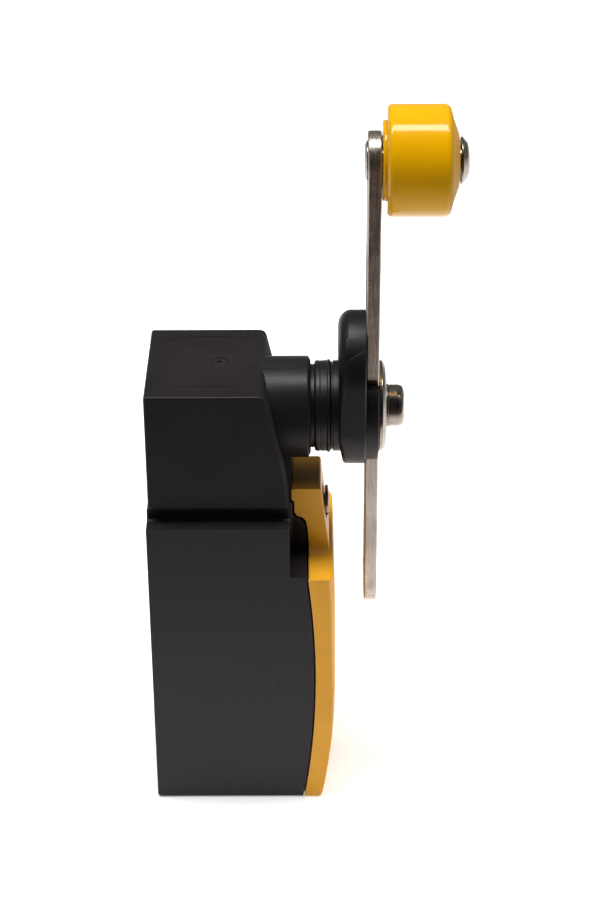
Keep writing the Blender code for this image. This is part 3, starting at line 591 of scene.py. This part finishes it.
def build_cover():
    """Cover with rounded side edges, the neck between the pockets and the raised strip on its front."""
    back = shift(parting_line(0.0, SHOULDER_HEIGHT, 24), GAP)
    back[-1] = (*back[-1], 0.3)
    crown = [(32.75, SHOULDER_HEIGHT, 0.5), (33.02, 44.0, 6.0), (33.1, 38.0, 12.0),
             (33.1, 23.0, 20.0), (32.88, 17.0, 12.0), (32.55, 12.5, 12.0), (31.95, 7.3, 12.0),
             (31.4, 3.2, 8.0), (30.85, 0.4, 0.9), (30.3, 0.0, 0.3)]
    outline = rounded(back + crown)
    rings = []
    for across, inset in ((15.5, 0.85), (15.15, 0.5), (14.5, 0.22), (13.8, 0.05), (13.3, 0.0)):
        ring = [(x - inset * min(1.0, max(0.3, (z - 6.0) / 30.0)) if x > 30.2 else x, z)
                for x, z in outline]
        rings.append((across, ring))
    rings = [(-across, ring) for across, ring in rings] + list(reversed(rings))
    lower = lofted("cover_work", rings)
    joint = ([(29.3, 40.0), (29.3, 46.8), (28.33, 47.4)]
             + [(point[0] + GAP, point[1] + GAP, *point[2:]) for point in NECK_JOINT]
             + [(POCKET_BACK + GAP, COVER_TOP, 0.3)])
    front = [(30.55, COVER_TOP, 0.5), (31.3, 54.8, 20.0), (32.0, 49.5, 20.0), (32.3, 46.3, 12.0),
             (32.7, 40.0)]
    neck = prism("neck_work", "XZ", rounded(joint + front), -NECK_HALF_WIDTH, NECK_HALF_WIDTH)
    neck = baked(bevel(neck, 0.2, 3))
    strip = rounded([(30.0, 56.3), (32.1, 56.1, 0.8), (32.8, 54.5, 1.5), (33.05, 50.0, 20.0),
                     (33.05, 42.0), (30.0, 42.0)])
    ridge = prism("ridge", "XZ", strip, -4.9, 4.9)
    ridge = baked(bevel(ridge, 0.9, 5, 60.0))
    window = [(29.0, 52.8), (31.6, 52.8), (32.1, 53.6), (32.15, 61.0), (29.0, 61.0)]
    ridge = cut(ridge, prism("window", "XZ", window, -8.0, 0.0))
    fillets = []
    for side in (-1, 1):
        centre = (NECK_HALF_WIDTH + FILLET_CENTRE, SHOULDER_HEIGHT + FILLET_CENTRE)
        outline = ([(5.0, 47.8), (centre[0], 47.8)] + arc(centre, FILLET_RADIUS, 270, 180, 14)
                   + [(5.0, centre[1])])
        outline = [(side * a, b) for a, b in outline]
        fillet = prism("fillet", "YZ", outline, 28.4, 32.6)
        beyond = [(31.25, 54.8), (31.95, 49.5), (32.25, 46.3), (40.0, 46.3), (40.0, 54.8)]
        fillets.append(cut(fillet, prism("beyond", "XZ", beyond, -FAR, FAR)))
    body = joined(lower, neck, ridge, *fillets)
    recess = turned("recess", "X", COVER_SCREW_AXIS,
                    [(0.0, 31.0), (3.2, 31.0), (3.4, 31.2), (3.4, 36.0), (0.0, 36.0)], 64)
    hollow = prism("hollow", "XZ", shift(parting_line(2.2, 46.2, 12), -2.0)
                   + [(31.0, 46.2), (31.2, 40.0), (31.2, 20.0), (30.6, 10.0), (29.9, 2.2)], -13.2, 13.2)
    body = cut(body, recess, hollow,
               rod("screw_hole", "X", 1.7, 20.0, 36.0, COVER_SCREW_AXIS, 32))
    soften(body, 0.2, shortest=2.0)
    finished(body, "cover_shell", "base", "yellow_cover", "cover")


def build_gasket():
    line = parting_line(0.35, 47.0, 24)
    band = prism("gasket_work", "XZ", shift(line, 0.01) + shift(list(reversed(line)), 0.9), -14.4, 14.4)
    band = cut(band, box("window", (24.0, 33.0), (-13.4, 13.4), (3.0, 45.6)))
    finished(band, "gasket_band", "base", "rubber", "cover_gasket")


def build_cover_screw():
    profile = rounded([(0.0, 20.5), (1.4, 20.5, 0.2), (1.4, 31.3), (2.8, 31.3, 0.1), (2.8, 31.8, 0.15),
                       (2.4, 32.0, 0.5), (0.0, 32.0)], closed=False)
    screw = turned("screw_work", "X", COVER_SCREW_AXIS, profile, 72)
    slot = box("slot", (31.5, 34.0), (-4.0, 4.0), (-0.35, 0.35))
    slot.data.transform(Matrix.Translation(COVER_SCREW_AXIS) @ Matrix.Rotation(0.6, 4, "X"))
    screw = cut(screw, slot)
    finished(screw, "cover_screw_shape", "base", "nickel_steel", "cover_screw")


# Head

def build_head():
    """Head with its shaft boss, the web that meets the neck, and moulding marks on top."""
    front = [(24.9, HEAD_BOTTOM, 0.4), (24.25, 66.8, 12.0), (23.45, 71.0, 14.0), (22.4, 76.2, 14.0),
             (21.3, 81.1, 8.0), (20.7, HEAD_TOP, 1.3)]
    outline = rounded([(0.3, HEAD_TOP, 0.5), (0.3, HEAD_BOTTOM, 0.9)] + front, steps=6)
    block = prism("head_work", "XZ", outline, -HEAD_HALF_WIDTH, HEAD_HALF_WIDTH)
    block = baked(bevel(block, 0.35, 4))
    profile = rounded([(0.0, 28.2), (7.6, 28.2), (7.6, 28.75), (8.1, BOSS_END + 0.1, 0.2),
                       (BOSS_RADIUS, BOSS_END - 0.35, 0.35), (BOSS_RADIUS, 15.0), (0.0, 15.0)],
                      closed=False)
    boss = turned("boss", "X", (0.0, 0.0, SHAFT_HEIGHT - 0.15), profile, 128)
    boss = cut(boss, box("boss_trim", (14.0, 20.0), (-12.0, 12.0), (HEAD_TOP - 0.2, 90.0)))
    web = prism("web", "XZ", rounded([(22.0, 70.0), (22.0, 61.5), (25.03, 61.5), (25.03, 59.2),
                                      (25.32, 59.2), (25.32, 70.0)]), -5.6, 5.6)
    block = joined(block, boss, web)
    marks = []
    sink = [(3.2, -8.9, 2.2), (10.8, -9.05, 20.0), (18.2, -8.9, 2.2), (18.4, 0.5, 20.0),
            (17.6, 9.6, 2.2), (10.6, 10.0, 20.0), (3.4, 9.3, 2.2), (3.0, 0.5, 20.0)]
    centre = Vector((10.8, 0.4))
    inner = [(*(centre + (Vector(p[:2]) - centre) * 0.955), p[2]) for p in sink]
    ring = prism("sink_ring", "XY", rounded(sink, steps=8), HEAD_TOP - 0.05, HEAD_TOP + 1.0)
    core = prism("sink_core", "XY", rounded(inner, steps=8), HEAD_TOP - 0.5, HEAD_TOP + 2.0)
    marks.append(cut(ring, core))
    groove = [(1.75, HEAD_TOP + 0.5), (1.75, HEAD_TOP - 0.02), (1.6, HEAD_TOP - 0.22),
              (1.4, HEAD_TOP - 0.22), (1.2, HEAD_TOP - 0.02), (1.2, HEAD_TOP + 0.5)]
    marks.append(turned("gate_ring", "Z", GATE_AXIS, groove, 48, closed=True))
    dimple = [(0.0, HEAD_TOP + 0.5), (0.55, HEAD_TOP + 0.5), (0.42, HEAD_TOP - 0.3),
              (0.0, HEAD_TOP - 0.35)]
    marks.append(turned("gate_dot", "Z", GATE_AXIS, dimple, 24))
    hollow = box("head_cavity", (6.8, 19.3), (-9.6, 9.6), (61.0, 81.5))
    rear = box("head_cavity_rear", (2.5, 7.5), (-4.6, 4.6), (61.0, 81.4))
    seat = box("plate_seat", (2.5, 19.3), (-9.6, 9.6), (60.0, 64.6))
    bore = rod("shaft_bore", "X", 5.6, 18.0, 30.0, AXLE)
    block = cut(block, *marks, hollow, rear, seat, bore)
    finished(block, "head_body", "base", "black_head", "head_housing")


# Lever

def build_hub():
    """Ring behind the carrier, with its collar and grooves."""
    profile = rounded([(4.25, 32.6), (7.75, 32.6), (7.75, 32.4), (7.85, 32.35, 0.1), (8.0, 32.2, 0.1),
                       (8.2, 32.1, 0.1), (8.2, 31.8, 0.12), (8.0, 31.6, 0.1), (8.0, 31.45), (8.0, 30.6),
                       (7.93, 30.5), (7.93, 30.42), (8.0, 30.32), (8.0, 29.75, 0.2), (7.8, 29.5, 0.1),
                       (7.35, 29.45, 0.1), (7.35, 28.4, 0.1), (4.25, 28.4)], steps=3)
    hub = turned("hub_work", "X", AXLE, profile, 128, closed=True)
    finished(hub, "hub_ring", "lever_shaft", "black_lever", "lever_hub")


def build_carrier():
    """Slab with two round ends whose back edge is rounded most at the top."""
    shape = bmesh.new()
    path = [((y, z), (y, z - CARRIER_LOW))
            for y, z in arc((0.0, CARRIER_LOW), CARRIER_RADIUS, 180, 360, 49)]
    path += [((y, z), (y, z - CARRIER_HIGH))
             for y, z in arc((0.0, CARRIER_HIGH), CARRIER_RADIUS, 0, 180, 49)]
    rings = []
    steps = 8
    low, high = CARRIER_LOW - CARRIER_RADIUS, CARRIER_HIGH + CARRIER_RADIUS
    for step in range(steps + 1):
        angle = math.pi / 2 * step / steps
        ring = []
        for (y, z), normal in path:
            share = (z - low) / (high - low)
            radius = 0.8 + 1.9 * max(0.0, min(1.0, (share - 0.35) / 0.45))
            back = 33.6 + 0.7 * max(0.0, min(1.0, (0.3 - share) / 0.22))
            out = Vector(normal).normalized() * (-radius * (1.0 - math.sin(angle)))
            ring.append(shape.verts.new((back + radius * (1.0 - math.cos(angle)),
                                         y + out.x, z + out.y)))
        rings.append(ring)
    rings.append([shape.verts.new((CARRIER_SEAT - 0.2, y, z)) for (y, z), _ in path])
    rings.append([shape.verts.new((CARRIER_SEAT, y - 0.2 * Vector(n).normalized().x,
                                   z - 0.2 * Vector(n).normalized().y)) for (y, z), n in path])
    bridge(shape, rings)
    caps = [shape.faces.new(rings[0]), shape.faces.new(rings[-1])]
    bmesh.ops.triangulate(shape, faces=caps[:1])
    body = from_bmesh(shape, "carrier_work")
    slope = rounded([(32.0, 84.0), (33.75, 84.2), (33.95, 87.3, 2.0), (36.2, 88.7, 2.0),
                     (40.0, 90.4), (40.0, 95.0), (32.0, 95.0)], steps=8)
    above = prism("above", "XZ", slope, -12.0, 12.0)
    outline = slot_outline(CARRIER_RADIUS - 0.9, CARRIER_LOW, CARRIER_HIGH + 0.86)
    wing = prism("wing", "YZ", outline, 31.0, 41.0)
    body = cut(body, cut(above, wing))
    profile = rounded([(0.0, 32.65), (8.0, 32.65, 0.12), (8.0, 35.5), (0.0, 35.5)],
                      closed=False, steps=3)
    collar = turned("collar", "X", AXLE, profile, 128)
    profile = rounded([(0.0, 37.0), (RIM_RADIUS, 37.0), (RIM_RADIUS, CARRIER_FRONT, 0.3),
                       (0.0, CARRIER_FRONT)], closed=False)
    rim = turned("rim", "X", AXLE, profile, 128)
    channel = box("channel", (CARRIER_SEAT, 42.0),
                  (-BAR_HALF_WIDTH - GAP, BAR_HALF_WIDTH + GAP), (60.0, 90.0))
    rim = cut(rim, channel, box("rim_top", (CARRIER_SEAT, 42.0), (-12.0, 12.0), (RIM_TOP, 90.0)))
    body = joined(body, collar, rim)
    bore = rod("bore", "X", CLAMP_BORE, 32.0, 42.0, AXLE, 48)
    body = cut(body, bore)
    finished(body, "carrier_body", "lever_shaft", "black_lever", "lever_carrier")


def build_bar():
    """Flat bar with round ends and its adjusting slot."""
    outline = slot_outline(BAR_HALF_WIDTH, BAR_BOTTOM + BAR_HALF_WIDTH, BAR_TOP - BAR_HALF_WIDTH)
    bar = baked(bevel(prism("bar_work", "YZ", outline, BAR_BACK, BAR_FRONT), 0.28, 3, 60.0))
    slot = slot_outline(2.4, 42.5, 104.0, 24)
    slot = prism("slot", "YZ", slot, BAR_BACK - 1.0, BAR_FRONT + 1.0)
    hole = rod("axle_hole", "X", 2.8, 37.0, 42.0, ROLLER_AXIS, 48)
    bar = cut(bar, slot, hole)
    finished(bar, "bar_plate", "lever", "bar_steel", "lever_bar")


def build_clamp():
    """Washer, split washer and slotted screw that clamp the bar."""
    profile = rounded([(CLAMP_BORE, 41.98), (6.3, 41.98, 0.4), (7.4, 41.8, 0.5), (8.05, 41.3, 0.3),
                       (8.1, 40.72, 0.1), (CLAMP_BORE, 40.72)], steps=3)
    washer = turned("washer_work", "X", AXLE, profile, 128, closed=True)
    finished(washer, "washer_plate", "lever_shaft", "nickel_steel", "clamp_washer")
    profile = rounded([(CLAMP_BORE, 42.4, 0.08), (3.9, 42.4, 0.12), (3.9, 42.0, 0.12),
                       (CLAMP_BORE, 42.0, 0.08)], steps=3)
    split = turned("split_work", "X", AXLE, profile, 96, closed=True)
    notch = box("notch", (41.0, 43.0), (-0.35, 0.35), (SHAFT_HEIGHT - 5.0, SHAFT_HEIGHT))
    split = cut(split, notch)
    finished(split, "split_washer", "lever_shaft", "nickel_steel", "spring_washer")
    profile = [(0.0, 45.2), (2.5, 45.2, 0.5), (3.45, 45.0, 0.9), (3.72, 44.2, 0.8),
               (3.72, 42.42, 0.12), (CLAMP_SCREW_RADIUS, 42.42)]
    for turn in range(int((CLAMP_THREAD_START - CLAMP_THREAD_END) / CLAMP_THREAD_PITCH)):
        crest = CLAMP_THREAD_START - CLAMP_THREAD_PITCH * turn
        profile += [(CLAMP_SCREW_RADIUS, crest), (CLAMP_SCREW_ROOT, crest - CLAMP_THREAD_PITCH / 2)]
    profile += [(CLAMP_SCREW_ROOT, 23.2), (1.3, 23.0), (0.0, 23.0)]
    screw = turned("screw_work", "X", AXLE, rounded(profile, closed=False, steps=5), 96)
    slot = box("slot", (43.9, 47.0), (-5.0, 5.0), (-0.55, 0.55))
    slot.data.transform(Matrix.Translation(AXLE) @ Matrix.Rotation(math.radians(-65.0), 4, "X"))
    screw = cut(screw, slot)
    finished(screw, "clamp_screw_shape", "lever_shaft", "nickel_steel", "clamp_screw")


def build_roller():
    """Roller tyre and the headed rivet that it turns on."""
    profile = rounded([(4.1, 53.5, 0.1), (4.5, 53.45, 0.4), (7.0, 52.55, 2.0),
                       (ROLLER_RADIUS, 51.95, 1.2), (ROLLER_RADIUS, 41.55, 0.9), (6.7, 41.55, 0.2),
                       (6.7, 40.8, 0.35), (4.1, 40.8, 0.1)], steps=6)
    roller = turned("roller_work", "X", ROLLER_AXIS, profile, 144, closed=True)
    finished(roller, "roller_tyre", "roller", "yellow_roller", "roller")
    profile = rounded([(0.0, 55.2), (1.6, 55.2, 1.0), (3.0, 54.9, 1.0), (3.9, 54.1, 0.2),
                       (4.0, 53.8, 0.05), (2.5, 53.8), (2.5, 38.36), (3.3, 38.36, 0.05),
                       (3.3, 38.2, 0.1), (2.8, 37.95, 0.3), (1.4, 37.85, 0.5), (0.0, 37.85)],
                      closed=False, steps=5)
    rivet = turned("rivet_work", "X", ROLLER_AXIS, profile, 96)
    finished(rivet, "rivet_pin", "lever", "nickel_steel", "roller_axle")


def build_carrier_spring():
    """Return spring of the contact carrier, close-wound so that it has room below at full travel."""
    turns, sides, steps = 3, 12, 28
    low, high, mean, wire = 17.9, 20.0, 1.0, 0.17
    shape = bmesh.new()
    rings = []
    for step in range(turns * steps + 1):
        share = step / (turns * steps)
        turn = 2 * math.pi * turns * share
        out = Vector((math.cos(turn), math.sin(turn), 0.0))
        spot = Vector((PLUNGER_AXIS[0], 0.0, low + (high - low) * share)) + out * mean
        ring = []
        for side in range(sides):
            angle = 2 * math.pi * side / sides
            ring.append(shape.verts.new(spot + out * (wire * math.cos(angle))
                                        + Vector((0.0, 0.0, wire * math.sin(angle)))))
        rings.append(ring)
    bridge(shape, rings)
    shape.faces.new(rings[0])
    shape.faces.new(rings[-1])
    spring = from_bmesh(shape, "carrier_spring_work")
    finished(spring, "carrier_spring_coil", "contact_carrier", "ground_steel",
             "carrier_return_spring")


build_carrier_spring()
build_housing()
build_cover()
build_gasket()
build_cover_screw()
build_head()
build_hub()
build_carrier()
build_bar()
build_clamp()
build_roller()

# CAD nodes that stay as they are take the material of their slot
for part in frame["record"]["subparts"]:
    node = frame["nodes"][part["node"]]
    node.data.materials.clear()
    node.data.materials.append(MATERIALS[part["material_slot"]])


# Studio: pale floor with painted glow, a sheet of painted dark reflection in front, a narrow strip
# light and a broad soft light above, white walls with a dark front

def smooth_range(tree, value, low, high, start, end):
    made = tree.nodes.new("ShaderNodeMapRange")
    made.interpolation_type = "SMOOTHSTEP"
    settings = {"From Min": low, "From Max": high, "To Min": start, "To Max": end}
    for socket, number in settings.items():
        made.inputs[socket].default_value = number
    tree.links.new(value, made.inputs["Value"])
    return made.outputs["Result"]


def smooth_depth(tree, low, high, start, end):
    """Value that changes along Y, in metres, on a flat piece of the set."""
    place = tree.nodes.new("ShaderNodeTexCoord")
    split = tree.nodes.new("ShaderNodeSeparateXYZ")
    tree.links.new(place.outputs["Object"], split.inputs[0])
    return smooth_range(tree, split.outputs["Y"], low, high, start, end)


def lit_floor():
    """White floor with painted light: it glows a little, which washes out the object's contact shadow,
    except in front of the object.
    """
    graph = Graph("floor")
    made = graph.finish((0.9, 0.9, 0.9, 1.0), 0.9, Specular_IOR_Level=0.1)
    graph.shader.inputs["Emission Color"].default_value = (1.0, 0.99, 0.975, 1.0)
    # painted light: emission on the floor from a little in front of the object backwards
    graph.link(smooth_depth(graph.tree, -0.10, -0.03, 0.0, FLOOR_GLOW),
               graph.shader.inputs["Emission Strength"])
    return made


def build_floor():
    mesh = bpy.data.meshes.new("floor")
    shape = bmesh.new()
    bmesh.ops.create_grid(shape, x_segments=1, y_segments=1, size=3.0)
    shape.to_mesh(mesh)
    shape.free()
    floor = link(mesh, "floor")
    floor.location = (0.03, 0.0, FLOOR_Z - 0.0002)
    mesh.materials.append(lit_floor())


def build_front_card():
    """Painted dark reflection: dims what glossy surfaces see of the floor in front, like a studio flag.
    Nothing else sees it.
    """
    shape = bmesh.new()
    corners = [(-1.0, -1.2), (1.0, -1.2), (1.0, -0.016), (-1.0, -0.016)]
    shape.faces.new([shape.verts.new((x, y, 0.0)) for x, y in corners])
    card = from_bmesh(shape, "front_card")
    card.location.z = FLOOR_Z + 0.0002
    made = bpy.data.materials.new("front_card")
    made.use_nodes = True
    tree = made.node_tree
    tree.nodes.clear()
    cover = smooth_depth(tree, -0.05, -0.21, CARD_NEAR, CARD_FAR)
    clear = tree.nodes.new("ShaderNodeBsdfTransparent")
    clear.inputs["Color"].default_value = (1.0, 0.925, 0.975, 1.0)
    # painted reflection: a dark, faintly glowing sheet that only glossy rays see
    dark = tree.nodes.new("ShaderNodeEmission")
    dark.inputs["Color"].default_value = (0.05, 0.026, 0.023, 1.0)
    both = tree.nodes.new("ShaderNodeMixShader")
    out = tree.nodes.new("ShaderNodeOutputMaterial")
    for source, target in ((cover, both.inputs[0]), (clear.outputs[0], both.inputs[1]),
                           (dark.outputs[0], both.inputs[2]), (both.outputs[0], out.inputs[0])):
        tree.links.new(source, target)
    card.data.materials.append(made)
    card.visible_camera = False
    card.visible_diffuse = False
    card.visible_shadow = False
    card.visible_transmission = False


def studio_world():
    """White walls and ceiling with an open, dark front."""
    world = bpy.data.worlds.new("studio")
    bpy.context.scene.world = world
    world.use_nodes = True
    tree = world.node_tree
    background = tree.nodes["Background"]
    place = tree.nodes.new("ShaderNodeTexCoord")

    def facing(direction, low, high, start, end):
        dot = tree.nodes.new("ShaderNodeVectorMath")
        dot.operation = "DOT_PRODUCT"
        dot.inputs[1].default_value = Vector(direction).normalized()
        tree.links.new(place.outputs["Generated"], dot.inputs[0])
        return smooth_range(tree, dot.outputs["Value"], low, high, start, end)

    ceiling = facing((0.0, 0.35, 1.0), 0.55, 0.98, WALL_LIGHT, CEILING_LIGHT)
    opening = facing((0.0, -0.85, 0.53), 0.6, 0.8, 1.0, 0.12)
    product = tree.nodes.new("ShaderNodeMath")
    product.operation = "MULTIPLY"
    tree.links.new(ceiling, product.inputs[0])
    tree.links.new(opening, product.inputs[1])
    tree.links.new(product.outputs[0], background.inputs["Strength"])
    background.inputs["Color"].default_value = (1.0, 0.95, 0.965, 1.0)


def soft_light(name, spot, target, width, depth, power):
    lamp = bpy.data.lights.new(name, "AREA")
    lamp.shape = "RECTANGLE"
    lamp.size = width
    lamp.size_y = depth
    lamp.energy = power
    item = bpy.data.objects.new(name, lamp)
    bpy.context.scene.collection.objects.link(item)
    item.location = spot
    item.rotation_euler = (Vector(target) - Vector(spot)).to_track_quat("-Z", "Y").to_euler()
    return item


def build_camera():
    """Camera at the photograph's angle."""
    data = bpy.data.cameras.new("camera")
    data.sensor_width = SENSOR
    data.lens = SENSOR * FOCAL_PIXELS / FRAME_PIXELS
    data.clip_start = 0.01
    data.clip_end = 20.0
    camera = bpy.data.objects.new("camera", data)
    bpy.context.scene.collection.objects.link(camera)
    cy, sy = math.cos(YAW), math.sin(YAW)
    cp, sp = math.cos(PITCH), math.sin(PITCH)
    cr, sr = math.cos(ROLL), math.sin(ROLL)
    turn = (Matrix(((cy, -sy, 0), (sy, cy, 0), (0, 0, 1)))
            @ Matrix(((1, 0, 0), (0, cp, sp), (0, -sp, cp)))
            @ Matrix(((cr, 0, sr), (0, 1, 0), (-sr, 0, cr))))
    right, forward, up = turn.col[0], turn.col[1], turn.col[2]
    camera.matrix_world = Matrix(((right.x, up.x, -forward.x, CAMERA_SPOT[0]),
                                  (right.y, up.y, -forward.y, CAMERA_SPOT[1]),
                                  (right.z, up.z, -forward.z, CAMERA_SPOT[2]),
                                  (0, 0, 0, 1)))
    bpy.context.scene.camera = camera


build_floor()
build_front_card()
studio_world()
soft_light("strip_light", (0.0, 0.02, 0.60), (0.0, 0.02, 0.0), width=0.7, depth=0.13, power=4.9)
fill = soft_light("fill_light", (0.0, 0.05, 0.75), (0.0, 0.0, 0.0), width=1.1, depth=0.9, power=3.9)
fill.visible_glossy = False
build_camera()
bpy.context.scene.view_settings.view_transform = "Standard"
